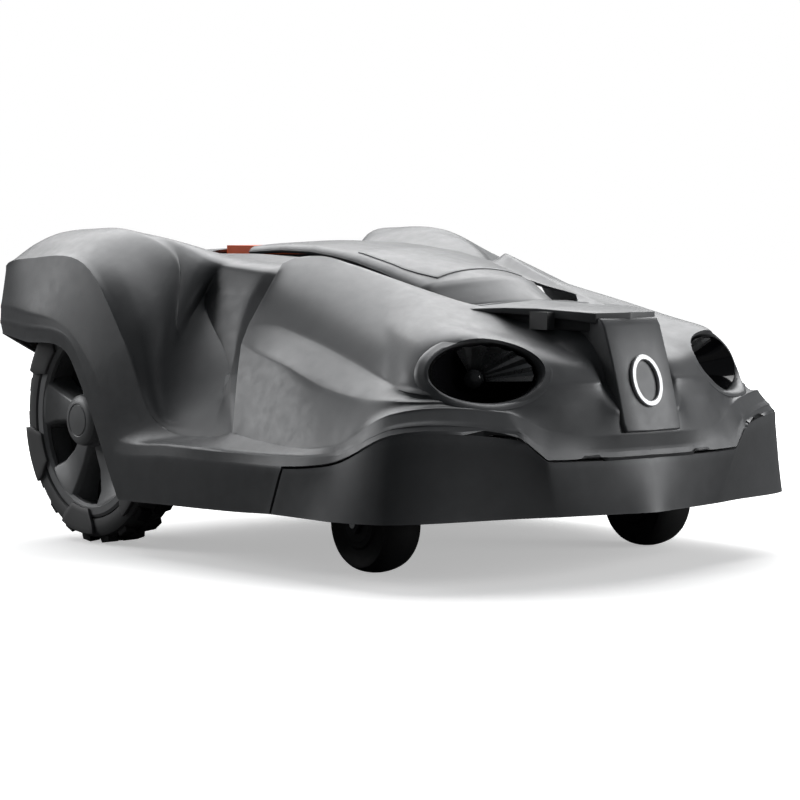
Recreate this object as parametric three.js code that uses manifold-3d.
// Robotic lawn mower: a floating outer shell on a wheeled chassis, with a height-adjustable blade disc.
// Millimetres. +X is forward, +Y is the machine's left, +Z is up, and the origin is on the ground below.
import * as THREE from "three";
import { mergeVertices } from "three/addons/utils/BufferGeometryUtils.js";
import Module from "manifold-3d";

const wasm = await Module();
wasm.setup();

// ---------------------------------------------------------------- driving dimensions
const WALL = 3; // thickness of the moulded panels
const GAP = 0.4; // clearance between pieces that meet
const FLOAT_GAP = 6; // room round the hatch for the floating shell

const WHEEL = { x: -187, inner: 208, outer: 256, radius: 122.5, rim: 96, lug: 6, lugs: 18 };
const CASTER = { x: 190, y: 169, trail: 22, radius: 46, width: 42, stem: 7, axle: 4 };
const CHASSIS = { floor: 70, split: 104, arm: 112, top: 165, half: 186, rear: -300, front: 282 };
const CUTTER = { x: 30, height: 40, disc: 90, skid: 78, reach: 120, blades: 3, pivot: 76, carriage: 46 };
const LAMP = { x: 292, y: 142, z: 188, wide: 52, high: 30, yaw: 20.7, pitch: 19.5, depth: 62 };
const HATCH = { rear: -166, front: 186, half: 74, pinX: 154, pinZ: 243, pin: 2.5, lugY: 31, earY: 42 };
const STOP = { rear: -232, front: -172, half: 58, top: 293, base: 276 };
const KEYPAD = { x: -88, top: 238, key: 9, deck: 232 };
const POST = { front: 215, frontY: 66, rear: -262, radius: 6, cup: 14, cupHeight: 6 };
const CONTACT = { x: 268, length: 24, y: 56, width: 9, z: 238 };

// ---------------------------------------------------------------- colours and finishes
const FINISH = {
  body: { color: 0x5e6062, roughness: 0.42, metalness: 0.15 },
  dark: { color: 0x26282a, roughness: 0.4, metalness: 0.05 },
  gloss: { color: 0x0c0d0e, roughness: 0.12, metalness: 0 },
  chassis: { color: 0x2c2e30, roughness: 0.6, metalness: 0 },
  rim: { color: 0x74777a, roughness: 0.4, metalness: 0.25 },
  rubber: { color: 0x141516, roughness: 0.85, metalness: 0 },
  orange: { color: 0xe8501a, roughness: 0.4, metalness: 0 },
  steel: { color: 0xb4b8bb, roughness: 0.3, metalness: 0.9 },
  motor: { color: 0x8f9499, roughness: 0.4, metalness: 0.7 },
  lens: { color: 0xe4ecef, roughness: 0.1, metalness: 0 },
  cell: { color: 0x3a4a6a, roughness: 0.5, metalness: 0 },
};

const mower = new THREE.Group();

/** Adds one named sub-part to a group, the mower itself unless another is given. */
function part(name, geometry, finish, parent = mower) {
  const mesh = new THREE.Mesh(geometry, new THREE.MeshStandardMaterial(FINISH[finish]));
  mesh.name = name;
  parent.add(mesh);
  return mesh;
}

/** A group at a place, turned by angles in degrees. */
function place(x, y, z, [rx, ry, rz] = [0, 0, 0], parent = mower) {
  const group = new THREE.Group();
  group.position.set(x, y, z);
  group.rotation.set(...[rx, ry, rz].map(THREE.MathUtils.degToRad), "ZYX");
  parent.add(group);
  return group;
}

// ---------------------------------------------------------------- solids
/** A closed geometry as a solid that can be joined and cut. */
function solid(geometry) {
  const bare = geometry.index ? geometry.toNonIndexed() : geometry.clone();
  bare.deleteAttribute("normal");
  bare.deleteAttribute("uv");
  const merged = mergeVertices(bare, 1e-3);
  return new wasm.Manifold(
    new wasm.Mesh({
      numProp: 3,
      vertProperties: merged.attributes.position.array,
      triVerts: new Uint32Array(merged.index.array),
    }),
  );
}

/** A solid's faces as a geometry. */
function geometryOf(body) {
  const { vertProperties, triVerts } = body.getMesh();
  const geometry = new THREE.BufferGeometry();
  geometry.setAttribute("position", new THREE.BufferAttribute(vertProperties, 3));
  geometry.setIndex(new THREE.BufferAttribute(triVerts, 1));
  return geometry;
}

function cut(geometry, ...tools) {
  return geometryOf(tools.reduce((body, tool) => body.subtract(solid(tool)), solid(geometry)));
}

function join(geometry, ...others) {
  return geometryOf(others.reduce((body, other) => body.add(solid(other)), solid(geometry)));
}

/** What two solids share. */
function within(geometry, other) {
  return geometryOf(solid(geometry).intersect(solid(other)));
}

/** A box between two corners. */
function box(x0, x1, y0, y1, z0, z1) {
  const shape = new THREE.BoxGeometry(x1 - x0, y1 - y0, z1 - z0);
  return shape.translate((x0 + x1) / 2, (y0 + y1) / 2, (z0 + z1) / 2);
}

/** A box with rounded upright edges. */
function pad(x0, x1, y0, y1, z0, z1, r) {
  const outline = new THREE.Shape();
  outline.moveTo(x0 + r, y0);
  outline.lineTo(x1 - r, y0);
  outline.absarc(x1 - r, y0 + r, r, -Math.PI / 2, 0);
  outline.lineTo(x1, y1 - r);
  outline.absarc(x1 - r, y1 - r, r, 0, Math.PI / 2);
  outline.lineTo(x0 + r, y1);
  outline.absarc(x0 + r, y1 - r, r, Math.PI / 2, Math.PI);
  outline.lineTo(x0, y0 + r);
  outline.absarc(x0 + r, y0 + r, r, Math.PI, Math.PI * 1.5);
  const options = { depth: z1 - z0, bevelEnabled: false, curveSegments: 2 };
  return new THREE.ExtrudeGeometry(outline, options).translate(0, 0, z0);
}

/** An upright prism over an outline of [x, y] points. */
function prism(points, z0, z1) {
  const shape = new THREE.Shape(points.map(([x, y]) => new THREE.Vector2(x, y)));
  return new THREE.ExtrudeGeometry(shape, { depth: z1 - z0, bevelEnabled: false }).translate(0, 0, z0);
}

/** A prism over an outline of [x, z] points, from y0 to y1. */
function sidePrism(points, y0, y1) {
  const shape = new THREE.Shape(points.map(([x, z]) => new THREE.Vector2(x, z)));
  const bar = new THREE.ExtrudeGeometry(shape, { depth: y1 - y0, bevelEnabled: false });
  return bar.rotateX(Math.PI / 2).translate(0, y1, 0);
}

/** A solid of revolution about Z. Its [radius, z] points start and end on the axis, or close a loop. */
function turned(points, segments = 20) {
  return new THREE.LatheGeometry(
    points.map(([r, z]) => new THREE.Vector2(r, z)),
    segments,
  ).rotateX(Math.PI / 2);
}

/** A closed loop of profile points, for a ring. */
function ring(points, segments = 20) {
  return turned([...points, points[0]], segments);
}

/** An upright rod. */
function rod(radius, z0, z1, segments = 24) {
  return turned([[0, z0], [radius, z0], [radius, z1], [0, z1]], segments);
}

/** Outline points mirrored across the XZ plane. */
function mirrored(points) {
  return [...points, ...points.map(([x, y]) => [x, -y]).reverse()];
}

// ---------------------------------------------------------------- the outer surface
// Nine feature lines run round one half of the machine, from the middle of its tail to that of its nose.
// Each has one [x, out, z] point at each station, where "out" is the distance from the middle plane:
//   0 tail, 1 tail edge, 2 fender tail, 3 fender top, 4 fender front, 5 arch, 6 skirt foot, 7 valley,
//   8 pod tail, 9 pod, 10 bumper end, 11 pod front, 12 front corner, 13 lamp, 14 seam step,
//   15 nose side, 16 nose middle
const LINES = [
  { name: "hem", straight: true, at: [
    [-340, 0, 62], [-340, 172, 64], [-352, 254, 202], [-262, 280, 198], [-184, 280, 190], [-157, 280, 158],
    [-97, 277, 52], [-40, 273, 53], [5, 271, 54], [75, 268, 55], [137, 265, 57], [205, 262, 57],
    [277, 246, 58], [328, 128, 60], [338, 97, 60], [352, 36, 60], [359, 0, 60]] },
  { name: "seam", straight: true, at: [
    [-346, 0, 90], [-346, 176, 92], [-357, 254, 214], [-262, 280, 213], [-180, 280, 203], [-147, 280, 166],
    [-104, 277, 97], [-40, 274, 98], [5, 272, 98], [75, 269, 99], [152, 262, 100], [205, 252, 105],
    [274, 236, 134], [335, 138, 131], [345, 116, 111], [352, 36, 110], [352, 0, 110]] },
  { name: "ledge", straight: true, at: [
    [-350, 0, 120], [-350, 182, 122], [-359, 252, 230], [-262, 279, 229], [-184, 279, 214], [-136, 279, 175],
    [-96, 275, 110], [-40, 271, 110], [5, 270, 110], [75, 267, 110], [150, 258, 111], [205, 249, 113],
    [271, 231, 141], [332, 137, 138], [342, 114, 118], [351, 36, 117], [351, 0, 117]] },
  { name: "crease", at: [
    [-354, 0, 180], [-354, 190, 190], [-347, 252, 268], [-265, 264, 282], [-170, 268, 277], [-96, 269, 208],
    [-38, 266, 127], [-10, 252, 119], [14, 243, 118], [75, 244, 117], [150, 246, 116], [200, 244, 119],
    [262, 226, 152], [320, 140, 153], [334, 105, 138], [352, 36, 132], [352, 0, 132]] },
  { name: "shoulder", at: [
    [-350, 0, 225], [-350, 190, 235], [-336, 230, 288], [-268, 240, 298], [-176, 242, 288], [-78, 240, 222],
    [-36, 232, 148], [-24, 216, 150], [14, 212, 200], [75, 218, 186], [140, 218, 176], [196, 212, 165],
    [254, 205, 180], [300, 150, 176], [322, 98, 172], [344, 38, 172], [344, 0, 172]] },
  { name: "flank", at: [
    [-338, 0, 255], [-335, 180, 262], [-318, 200, 302], [-262, 206, 310], [-182, 210, 305], [-82, 208, 258],
    [-46, 202, 208], [-38, 188, 210], [4, 178, 240], [75, 180, 209], [140, 178, 195], [200, 172, 182],
    [252, 190, 206], [272, 150, 218], [292, 96, 216], [330, 40, 214], [330, 0, 214]] },
  { name: "ridge", at: [
    [-308, 0, 277], [-304, 160, 281], [-288, 168, 295], [-255, 172, 303], [-190, 176, 303], [-105, 179, 290],
    [-72, 177, 279], [-52, 168, 278], [-18, 140, 284], [60, 114, 277], [120, 99, 263], [160, 90, 251],
    [195, 92, 243], [228, 96, 237], [262, 82, 229], [317, 40, 228], [320, 0, 228]] },
  { name: "deck", at: [
    [-282, 0, 284], [-276, 110, 285], [-262, 122, 286], [-235, 128, 286], [-185, 130, 286], [-130, 126, 284],
    [-95, 122, 281], [-65, 116, 279], [-30, 106, 277], [50, 90, 269], [110, 80, 259], [150, 76, 251],
    [185, 72, 244], [215, 66, 240], [240, 56, 238], [285, 38, 237], [290, 0, 237]] },
  { name: "middle", at: [
    [-252, 0, 289], [-236, 0, 291], [-218, 0, 292], [-192, 0, 292], [-155, 0, 292], [-120, 0, 292],
    [-90, 0, 291], [-60, 0, 290], [-20, 0, 288], [50, 0, 282], [110, 0, 273], [145, 0, 262],
    [175, 0, 248], [198, 0, 243], [214, 0, 241], [230, 0, 240], [240, 0, 240]] },
];
const VALLEY = 7; // the station where the rear cover meets the front one
const BUMPER_END = 10; // stations where the bumper, the wings and the nose start
const WING_SIDE = 14;
const NOSE_SIDE = 15;
const STEPS = 2; // surface steps from one station to the next

/** Points along one feature line, straight or smooth between its stations. */
function sampleLine({ straight, at }) {
  const points = at.map((p) => new THREE.Vector3(...p));
  const curve = new THREE.CatmullRomCurve3(points, false, "catmullrom", 0.5);
  const last = points.length - 1;
  return Array.from({ length: last * STEPS + 1 }, (_, i) => {
    const station = Math.floor(i / STEPS);
    const along = (i % STEPS) / STEPS;
    if (along === 0) return points[station];
    if (straight) return points[station].clone().lerp(points[station + 1], along);
    return curve.getPoint(i / (last * STEPS));
  });
}
const SURFACE = LINES.map(sampleLine);

/** The whole surface: shared points with normals, and triangles with their row and station. */
function makeSkin() {
  const points = [];
  const ids = new Map();
  const idOf = (p, side) => {
    const at = new THREE.Vector3(p.x, p.y * side || 0, p.z);
    const key = at.toArray().map((v) => Math.round(v * 100)).join();
    if (!ids.has(key)) ids.set(key, points.push({ at, normal: new THREE.Vector3() }) - 1);
    return ids.get(key);
  };
  const faces = [];
  const addCell = (row, column, side) => {
    const corners = [[row, column], [row, column + 1], [row + 1, column + 1], [row + 1, column]];
    const cell = corners.map(([r, c]) => idOf(SURFACE[r][c], side));
    const [a, b, c, d] = side > 0 ? cell.reverse() : cell;
    for (const face of [[a, b, c], [a, c, d]]) {
      if (new Set(face).size < 3) continue;
      const [p, q, r] = face.map((i) => points[i].at);
      const normal = q.clone().sub(p).cross(r.clone().sub(p));
      face.forEach((i) => points[i].normal.add(normal));
      faces.push({ face, row, station: column / STEPS });
    }
  };
  for (let row = 0; row < LINES.length - 1; row += 1) {
    for (let column = 0; column < SURFACE[0].length - 1; column += 1) {
      addCell(row, column, -1);
      addCell(row, column, 1);
    }
  }
  points.forEach(({ normal }) => normal.normalize());
  return { points, faces };
}
const SKIN = makeSkin();

/** A moulded panel: the skin's triangles that keep() wants, given a wall, its edge drawn in a little. */
function moulding(keep, wall = WALL, drawIn = GAP) {
  const kept = SKIN.faces.filter(({ row, station }) => keep(row, station)).map(({ face }) => face);
  const used = [...new Set(kept.flat())];
  const faces = kept.map((face) => face.map((i) => used.indexOf(i)));
  const points = used.map((i) => SKIN.points[i]);
  const inward = points.map(() => new THREE.Vector3());
  const edges = new Map();
  for (const face of faces) {
    const middle = new THREE.Vector3();
    face.forEach((i) => middle.addScaledVector(points[i].at, 1 / 3));
    face.forEach((i, k) => {
      const next = face[(k + 1) % 3];
      inward[i].add(middle.clone().sub(points[i].at).normalize());
      edges.set(`${i}>${next}`, [i, next]);
    });
  }
  const rim = [...edges.values()].filter(([i, j]) => !edges.has(`${j}>${i}`));
  const onRim = new Set(rim.flat());
  const outer = points.map(({ at }, i) => {
    if (!onRim.has(i)) return at;
    const draw = inward[i].setY(at.y === 0 ? 0 : inward[i].y).normalize();
    return at.clone().addScaledVector(draw, drawIn);
  });
  const inner = points.map(({ normal }, i) => outer[i].clone().addScaledVector(normal, -wall));
  const count = points.length;
  const triangles = [
    ...faces,
    ...faces.map(([a, b, c]) => [a + count, c + count, b + count]),
    ...rim.flatMap(([i, j]) => [[j, i, i + count], [j, i + count, j + count]]),
  ];
  const geometry = new THREE.BufferGeometry().setFromPoints([...outer, ...inner]);
  geometry.setIndex(triangles.flat());
  return geometry;
}

const isRear = (row, station) => station < VALLEY;
const isBumper = (row, station) => row === 0 && station >= BUMPER_END;
const isNose = (row, station) =>
  (row >= 3 && row <= 6 && station >= NOSE_SIDE) || (row === 6 && station >= WING_SIDE);

// ---------------------------------------------------------------- shell pieces
/** The hatch's outline from above, from a given x to its rounded nose, drawn out by a distance. */
function hatchOutline(rear, grow) {
  const half = HATCH.half + grow;
  const nose = [[0.52, 1], [0.7, 0.97], [0.84, 0.85], [0.93, 0.62], [0.98, 0.34], [1, 0]];
  const points = nose.map(([along, out]) => [along * HATCH.front + grow, out * half]);
  return mirrored([[rear, half], ...points]);
}

const hatchHole = prism(mirrored([
  [STOP.rear - FLOAT_GAP, HATCH.half + FLOAT_GAP],
  [HATCH.pinX + 8, HATCH.half + FLOAT_GAP],
  [HATCH.pinX + 24, HATCH.half - 6],
  [HATCH.front + FLOAT_GAP, HATCH.half - 30],
]), 200, 330);

/** The lamp's own axes: Z out of the lamp, X across it towards the nose. */
function lampFrame(side) {
  const yaw = THREE.MathUtils.degToRad(LAMP.yaw) * side;
  const pitch = THREE.MathUtils.degToRad(LAMP.pitch);
  const out = new THREE.Vector3(
    Math.cos(pitch) * Math.cos(yaw), Math.cos(pitch) * Math.sin(yaw), Math.sin(pitch));
  const across = new THREE.Vector3(Math.sin(yaw), -Math.cos(yaw), 0);
  const up = new THREE.Vector3().crossVectors(out, across);
  return new THREE.Matrix4()
    .makeBasis(across, up, out)
    .setPosition(LAMP.x, LAMP.y * side, LAMP.z);
}

/** Points of an oval rod along the lamp's axis. */
function lampOval(profile, grow, segments = 24) {
  return turned(profile, segments).scale((LAMP.wide + grow) / LAMP.wide, (LAMP.high + grow) / LAMP.wide, 1);
}

const lampHoles = [-1, 1].map((side) => {
  const w = LAMP.wide;
  const plug = lampOval([[0, -LAMP.depth], [w, -LAMP.depth], [w, 60], [0, 60]], 3);
  return plug.applyMatrix4(lampFrame(side));
});
const contactHoles = [-1, 1].map((side) => {
  const y = side * CONTACT.y;
  const halfX = CONTACT.length / 2 + 1;
  const halfY = CONTACT.width / 2 + 1;
  return box(CONTACT.x - halfX, CONTACT.x + halfX, y - halfY, y + halfY, 205, 260);
});
part("shell_rear", cut(moulding(isRear, WALL, 4 * GAP), hatchHole), "body");
part("shell_front", cut(
  moulding((row, station) => !isRear(row, station) && !isBumper(row, station) && !isNose(row, station)),
  hatchHole, ...lampHoles, ...contactHoles), "body");
part("front_bumper", moulding(isBumper, 5), "dark");
part("nose_bridge", cut(moulding(isNose, WALL, 3 * GAP), ...contactHoles), "body");

for (const [name, side] of [["right", -1], ["left", 1]]) {
  const frame = place(0, 0, 0);
  frame.applyMatrix4(lampFrame(side));
  const w = LAMP.wide;
  part(`headlamp_bezel_${name}`, lampOval([
    [w - 3, -16], [w + 2, -16], [w + 2, 5], [w - 3, 2], [w - 3, -16]], 0), "dark", frame);
  part(`headlamp_bowl_${name}`, lampOval([
    [0, -LAMP.depth + 8], [16, -LAMP.depth + 8], [38, -30], [w - 3.6, -2], [w - 3.6, -8], [40, -34],
    [18, -LAMP.depth + 5], [0, -LAMP.depth + 5]].reverse(), 0), "gloss", frame);
  part(`headlamp_led_${name}`, turned([
    [0, -LAMP.depth + 8.5], [8, -LAMP.depth + 8.5], [8, -LAMP.depth + 13], [5, -LAMP.depth + 16],
    [0, -LAMP.depth + 17]], 20), "lens", frame);
  const y = side * CONTACT.y;
  part(`charge_contact_${name}`, box(
    CONTACT.x - CONTACT.length / 2, CONTACT.x + CONTACT.length / 2,
    y - CONTACT.width / 2, y + CONTACT.width / 2, CONTACT.z - 16, CONTACT.z), "steel");
}

// ---------------------------------------------------------------- chassis
const CENTRE = (CHASSIS.rear + CHASSIS.front) / 2;

/** The chassis outline, drawn in by a distance, with its front half as wide as given. */
function chassisOutline(drawIn, frontHalf) {
  const half = CHASSIS.half;
  const points = [
    [CHASSIS.rear, half - 14], [CHASSIS.rear + 14, half], [96, half],
    [112, frontHalf], [CHASSIS.front - 30, frontHalf], [CHASSIS.front, 74],
  ];
  return mirrored(points.map(([x, y]) => [x - Math.sign(x - CENTRE) * drawIn, y - drawIn]));
}

const NARROW = 86; // the tray passes between the casters
const ARM = 196; // the upper half reaches out over them
const carriageHole = rod(CUTTER.carriage + 2, 0, 200, 24).translate(CUTTER.x, 0, 0);
const axleHole = turned([[0, -260], [14, -260], [14, 260], [0, 260]], 20)
  .rotateX(Math.PI / 2)
  .translate(WHEEL.x, 0, WHEEL.radius);
const stemHoles = [-1, 1].map((side) =>
  rod(CASTER.stem + 1, 90, 150, 16).translate(CASTER.x, side * CASTER.y, 0));

part("chassis_lower", cut(
  prism(chassisOutline(0, NARROW), CHASSIS.floor, CHASSIS.split),
  prism(chassisOutline(WALL, NARROW), CHASSIS.floor + WALL, CHASSIS.split + 1),
  carriageHole), "chassis");

const tower = { rear: -166, front: 146, half: 68 };
const upperOuter = join(
  prism(chassisOutline(0, ARM), CHASSIS.split + GAP, CHASSIS.arm),
  box(CHASSIS.rear, 96, -CHASSIS.half, CHASSIS.half, CHASSIS.split + GAP, CHASSIS.top),
  box(tower.rear, tower.front, -tower.half, tower.half, CHASSIS.arm - 2, KEYPAD.deck));
part("chassis_upper", cut(
  upperOuter,
  box(CHASSIS.rear + WALL, 96 - WALL, WALL - CHASSIS.half, CHASSIS.half - WALL, 100, CHASSIS.top - WALL),
  box(tower.rear + WALL, tower.front - WALL, WALL - tower.half, tower.half - WALL, 100, KEYPAD.deck - WALL),
  prism(chassisOutline(WALL, NARROW), 100, CHASSIS.arm - WALL),
  axleHole, ...stemHoles), "chassis");

const bracketX = tower.front + GAP;
const bracketEar = [
  [bracketX, 216], [bracketX + 3, 216], [bracketX + 3, 226], [155, 236.5], [159, 240], [159, 246],
  [156, 249], [150, 249], [bracketX, 242],
];
part("hinge_bracket", join(
  box(bracketX, bracketX + 3, -HATCH.earY - 7, HATCH.earY + 7, 205, 226),
  sidePrism(bracketEar, HATCH.earY - 2.5, HATCH.earY + 2.5),
  sidePrism(bracketEar, -HATCH.earY - 2.5, 2.5 - HATCH.earY),
  rod(HATCH.pin, -HATCH.earY - 5, HATCH.earY + 5, 16).rotateX(Math.PI / 2)
    .translate(HATCH.pinX, 0, HATCH.pinZ)), "steel");

part("battery_cover", pad(-288, -212, -62, 62, CHASSIS.floor - 3.4, CHASSIS.floor - GAP, 8), "dark");
part("battery_pack", pad(-138, -34, -62, 62, 76, 126, 6), "cell");
part("display_panel", pad(-24, 44, -36, 36, KEYPAD.deck + GAP, KEYPAD.deck + 4, 5), "gloss");
part("height_motor", rod(14, 124, 172, 16).translate(CUTTER.x + 88, 0, 0), "motor");
part("height_guide_rod", rod(3.5, CHASSIS.floor + WALL + GAP, 210, 12)
  .translate(CUTTER.x + 57, 0, 0), "steel");

// ---------------------------------------------------------------- hatch, stop button and keys
const hatchTop = [
  [HATCH.rear, 291], [-110, 294], [-60, 294], [10, 288], [80, 279], [120, 271], [148, 263], [168, 254],
  [HATCH.front, 243],
];
const hatchUnder = [
  [HATCH.front - 6, 241], [160, 251], [140, 259], [115, 265], [80, 272], [10, 279], [HATCH.rear, 277],
];
const hatchInside = [
  [HATCH.rear + WALL, 288], [-110, 291], [-60, 291], [10, 285], [80, 276], [118, 268], [144, 260.5],
  [163, 252], [163, 236], [HATCH.rear + WALL, 236],
];
const hatchLug = [[148, 263], [160, 257], [160, 240], [156, 237], [152, 237], [148, 240]];
const earRoom = [-1, 1].map((side) =>
  rod(9.5, side * HATCH.earY - 4, side * HATCH.earY + 4, 20).rotateX(Math.PI / 2)
    .translate(HATCH.pinX, 0, HATCH.pinZ));
const hingePinHole = rod(HATCH.pin + 0.4, -90, 90, 16)
  .rotateX(Math.PI / 2)
  .translate(HATCH.pinX, 0, HATCH.pinZ);
const innerHalf = HATCH.half - WALL;
part("hatch", cut(
  join(
    cut(
      within(
        sidePrism([...hatchTop, ...hatchUnder], -HATCH.half, HATCH.half),
        prism(hatchOutline(HATCH.rear, 0), 200, 320)),
      within(
        sidePrism(hatchInside, -innerHalf, innerHalf),
        prism(hatchOutline(HATCH.rear - 9, -WALL), 200, 320))),
    ...[-1, 1].map((side) => sidePrism(hatchLug, side * HATCH.lugY - 4, side * HATCH.lugY + 4))),
  hingePinHole, ...earRoom), "body");

part("stop_housing", cut(
  pad(STOP.rear - 3, STOP.front + 3, -STOP.half - 3, STOP.half + 3, CHASSIS.top + GAP, 284, 8),
  pad(STOP.rear - 0.6, STOP.front + 0.6, -STOP.half - 0.6, STOP.half + 0.6, 262, 300, 6),
  rod(9, 160, 300, 20).translate((STOP.rear + STOP.front) / 2, 0, 0),
  box(STOP.rear + 2, STOP.front - 2, -STOP.half + 2, -14, 150, 257),
  box(STOP.rear + 2, STOP.front - 2, 14, STOP.half - 2, 150, 257)), "chassis");
part("stop_button", join(
  pad(STOP.rear, STOP.front, -STOP.half, STOP.half, STOP.base, STOP.top, 6),
  rod(8, 230, STOP.base + 2, 20).translate((STOP.rear + STOP.front) / 2, 0, 0)), "orange");

const keys = [
  ["power_key", -26, 28],
  ["start_key", -26, -28],
  ["back_key", 24, 28],
  ["ok_key", 24, -28],
];
const keyHoles = keys.map(([, x, y]) =>
  rod(KEYPAD.key + 0.5, KEYPAD.deck + 1.5, 260, 16).translate(KEYPAD.x + x, y, 0));
part("keypad", cut(
  pad(KEYPAD.x - 46, KEYPAD.x + 46, -52, 52, KEYPAD.deck + GAP, KEYPAD.top, 8),
  ...keyHoles), "dark");
for (const [name, x, y] of keys) {
  part(name, rod(KEYPAD.key, KEYPAD.deck + 3.5, KEYPAD.top + 2.5, 16),
    name === "power_key" ? "orange" : "chassis", place(KEYPAD.x + x, y, 0));
}

// ---------------------------------------------------------------- floating posts
const posts = [
  ["front_right", POST.front, -POST.frontY, CHASSIS.arm, 226],
  ["front_left", POST.front, POST.frontY, CHASSIS.arm, 226],
  ["rear", POST.rear, 0, CHASSIS.top, 280],
];
for (const [name, x, y, base, top] of posts) {
  const cupTop = base + GAP + POST.cupHeight;
  const spot = place(x, y, 0);
  part(`float_cup_${name}`, rod(POST.cup, base + GAP, cupTop, 12), "rubber", spot);
  part(`float_post_${name}`, turned([
    [0, cupTop + GAP], [10, cupTop + GAP], [10, cupTop + 5], [POST.radius, cupTop + 8],
    [POST.radius, top - 4], [POST.radius - 3, top], [0, top]], 10), "dark", spot);
}

// ---------------------------------------------------------------- drive wheels
const halfWidth = (WHEEL.outer - WHEEL.inner) / 2;

/** The rim, with its axis on Z and its face towards +Z. */
function rimGeometry() {
  const h = halfWidth;
  const barrel = turned([
    [0, 2], [26, 2], [30, 8], [88, 8], [91, -h + 3], [WHEEL.rim - GAP, -h + 3], [WHEEL.rim - GAP, h - 3],
    [91, h - 5], [88, 15], [30, 15], [27, 18], [0, 18]], 36);
  const windows = Array.from({ length: 6 }, (_, i) => {
    const hole = prism([[38, -9], [82, -27], [82, 27], [38, 9]], 0, 30);
    return hole.rotateZ((i * Math.PI) / 3);
  });
  return cut(barrel, ...windows);
}

/** The tyre: a ring with square lugs across its tread. */
function tyreGeometry() {
  const h = halfWidth;
  const base = WHEEL.radius - WHEEL.lug;
  const body = ring([
    [WHEEL.rim, -h + 2], [base - 5, -h], [base, -h + 5], [base, h - 5], [base - 5, h],
    [WHEEL.rim, h - 2]], 36);
  const lugs = Array.from({ length: WHEEL.lugs }, (_, i) => {
    const side = i % 2 ? 1 : -1;
    const lug = box(base - 2, WHEEL.radius, -7, 7, side * 12 - 12, side * 12 + 12);
    return lug.rotateZ((i * 2 * Math.PI) / WHEEL.lugs);
  });
  return join(body, ...lugs);
}

for (const [name, side] of [["right", -1], ["left", 1]]) {
  const axle = (WHEEL.inner + WHEEL.outer) / 2;
  const wheel = place(WHEEL.x, side * axle, WHEEL.radius, [-90 * side, 0, 0]);
  part(`rear_tyre_${name}`, tyreGeometry(), "rubber", wheel);
  part(`rear_rim_${name}`, rimGeometry(), "rim", wheel);
  part(`hub_cap_${name}`, turned([
    [0, 18 + GAP], [24, 18 + GAP], [25, 22], [22, 30], [15, 33.5], [0, 34.5]], 24), "rim", wheel);
  part(`wheel_shaft_${name}`, rod(7, -56, 2 - GAP, 20), "steel", wheel);
  part(`drive_motor_${name}`, turned([
    [0, -130], [26, -130], [34, -122], [34, -70], [20, -66], [20, -56 - GAP], [0, -56 - GAP]]),
  "motor", wheel);
}

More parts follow.
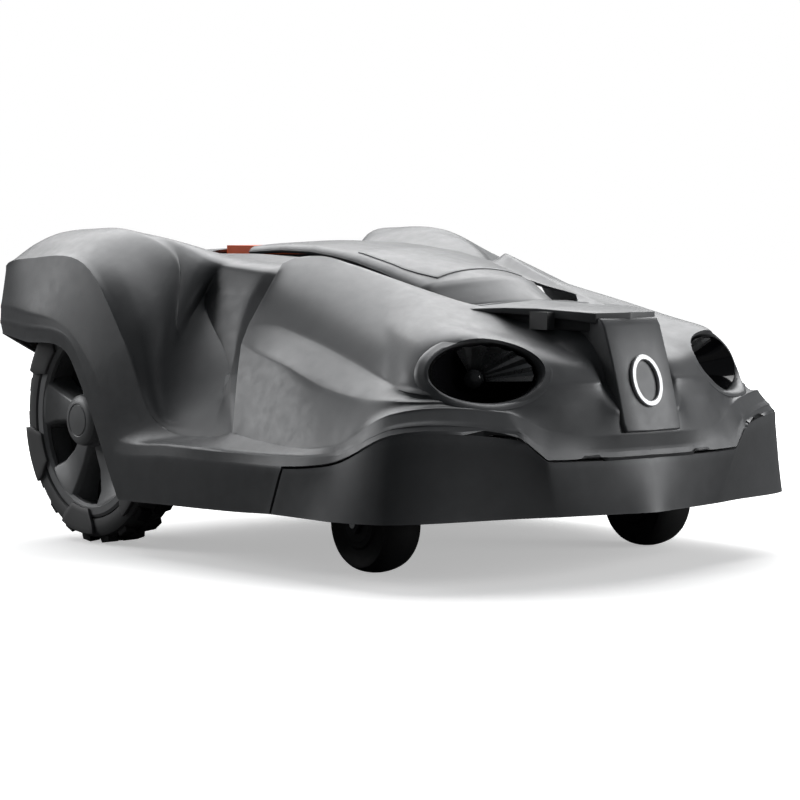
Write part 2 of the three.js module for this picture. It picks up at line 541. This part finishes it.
// ---------------------------------------------------------------- casters
const forkInner = CASTER.width / 2 + 2;
const forkOuter = forkInner + 4;
for (const [name, side] of [["right", -1], ["left", 1]]) {
  const swivel = place(CASTER.x, side * CASTER.y, 0);
  const axleX = -CASTER.trail;
  const r = CASTER.radius;
  const cheek = [
    [axleX - 9, r - 2], [axleX - 4, r - 9], [axleX + 4, r - 9], [axleX + 9, r - 2], [10, 96], [-24, 96]];
  const axleRod = (radius, half) => rod(radius, -half, half, 16).rotateX(Math.PI / 2).translate(axleX, 0, r);
  part(`caster_fork_${name}`, cut(
    join(
      rod(CASTER.stem, 95, 132, 20),
      pad(-24, 14, -forkOuter, forkOuter, 95, 99, 8),
      sidePrism(cheek, forkInner, forkOuter),
      sidePrism(cheek, -forkOuter, -forkInner)),
    axleRod(CASTER.axle + 0.4, 60)), "dark", swivel);
  part(`caster_axle_${name}`, axleRod(CASTER.axle, forkOuter), "steel", swivel);
  const w = CASTER.width / 2;
  part(`caster_wheel_${name}`, ring([
    [CASTER.axle + 0.4, -w], [r - 16, -w], [r - 6, -w + 5], [r - 1, -w + 14], [r, 0], [r - 1, w - 14],
    [r - 6, w - 5], [r - 16, w], [CASTER.axle + 0.4, w]], 24),
  "rubber", place(axleX, 0, r, [90, 0, 0], swivel));
}

// ---------------------------------------------------------------- cutting unit
const cutter = place(CUTTER.x, 0, CUTTER.height);
const carriage = CUTTER.carriage;
part("height_carriage", cut(
  join(
    turned([
      [0, 108], [carriage - WALL, 108], [carriage - WALL, 24], [carriage, 24], [carriage, 111],
      [0, 111]], 24),
    pad(40, 66, -14, 14, 101, 111, 5)),
  rod(4, 90, 120, 12).translate(57, 0, 0)), "chassis", cutter);
part("cutting_motor", turned([
  [0, 18.5], [5, 18.5], [5, 28], [30, 28], [32, 32], [32, 84], [28, 90], [0, 90]]), "motor", cutter);
part("cutting_disc", cut(
  turned([
    [0, 2.4], [CUTTER.disc - 4, 2.4], [CUTTER.disc, 4], [CUTTER.disc, 5], [22, 5], [18, 18], [0, 18]], 30),
  ...Array.from({ length: CUTTER.blades }, (_, i) => {
    const turn = (i * 2 * Math.PI) / CUTTER.blades;
    return rod(3.4, -10, 20, 12).translate(CUTTER.pivot * Math.cos(turn), CUTTER.pivot * Math.sin(turn), 0);
  })), "dark", cutter);
part("skid_plate", turned([
  [0, -7], [CUTTER.skid - 6, -7], [CUTTER.skid, -5], [CUTTER.skid, -4], [16, -4], [14, 1.8], [0, 1.8]],
28), "dark", cutter);
for (let i = 0; i < CUTTER.blades; i += 1) {
  const angle = (i * 360) / CUTTER.blades;
  const turn = THREE.MathUtils.degToRad(angle);
  const spot = place(CUTTER.pivot * Math.cos(turn), CUTTER.pivot * Math.sin(turn), 0, [0, 0, angle], cutter);
  const tip = CUTTER.reach - CUTTER.pivot;
  part(`blade_${i + 1}`, cut(
    prism([[-7, -6], [-3, -9], [tip, -9], [tip, 9], [-3, 9], [-7, 6]], -0.4, 0.4),
    rod(3.4, -5, 5, 12)), "steel", spot);
  part(`blade_screw_${i + 1}`, turned([
    [0, -3], [5, -3], [5, -1], [3, -1], [3, 7], [0, 7]], 16), "steel", spot);
}

export default mower;
